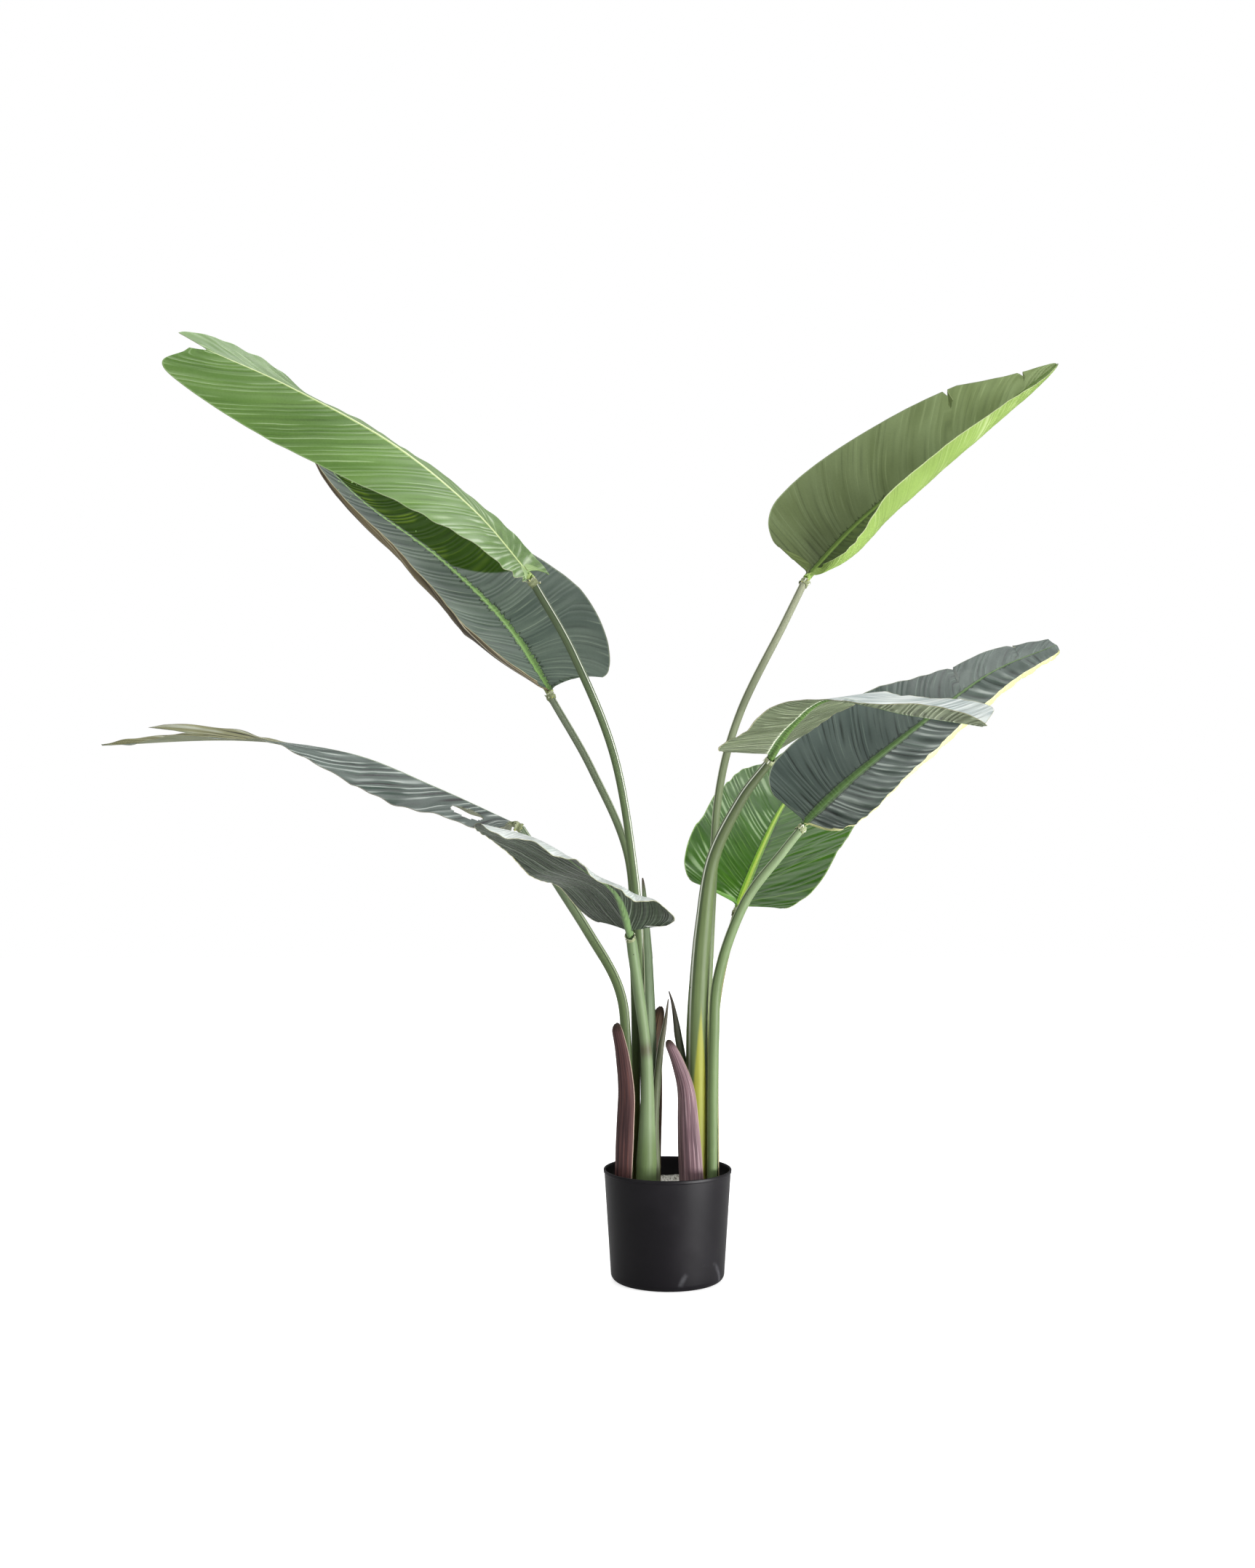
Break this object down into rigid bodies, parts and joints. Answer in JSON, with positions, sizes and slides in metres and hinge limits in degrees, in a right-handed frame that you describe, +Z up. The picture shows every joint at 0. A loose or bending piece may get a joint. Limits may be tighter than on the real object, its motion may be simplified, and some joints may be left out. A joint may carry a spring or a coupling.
{
  "type": "potted banana plant",
  "caption": "Tall potted banana plant: clumps of arching stems with long pleated leaves, dry sheaths and pointed young shoots, set in pale fill in a plain black round nursery pot.",
  "frame": {"origin": "centre of the pot's flat base", "axes": "+Z up, +X to the right of the plant as pictured, +Y to its back"},
  "size_m": [1.2703, 0.7393, 1.2061],
  "materials": {
    "pot": "satin",
    "fill": "matte",
    "stem_green": "satin",
    "stem_bright": "satin",
    "spear": "matte",
    "sheath_maroon": "matte",
    "sheath_dry": "matte",
    "sheath_purple": "matte",
    "sheath_dark": "matte",
    "leaf_light": "satin",
    "leaf_grey": "satin",
    "leaf_dark": "satin",
    "leaf_olive": "satin",
    "leaf_vivid": "satin"
  },
  "bodies": {
    "root": {"pot": "pot", "fill": "fill", "stem_left_upper": "stem_green", "stem_left_middle": "stem_green", "stem_left_low": "stem_green", "stem_left_front": "stem_bright", "stem_right_front": "stem_green", "stem_right_upper": "stem_green", "stem_right_middle": "stem_green", "stem_right_back": "stem_green", "spear_left": "spear", "spear_right": "spear", "sheath_left_maroon": "sheath_maroon", "sheath_left_dry": "sheath_dry", "sheath_left_long": "stem_green", "sheath_right_purple": "sheath_purple", "sheath_right_dark": "sheath_dark", "leaf_left_upper": "leaf_light", "leaf_left_middle": "leaf_grey", "leaf_left_front": "leaf_dark", "leaf_left_low": "leaf_grey", "leaf_right_upper": "leaf_olive", "leaf_right_middle": "leaf_grey", "leaf_right_front": "leaf_dark", "leaf_right_back": "leaf_vivid"}
  },
  "joints": []
}
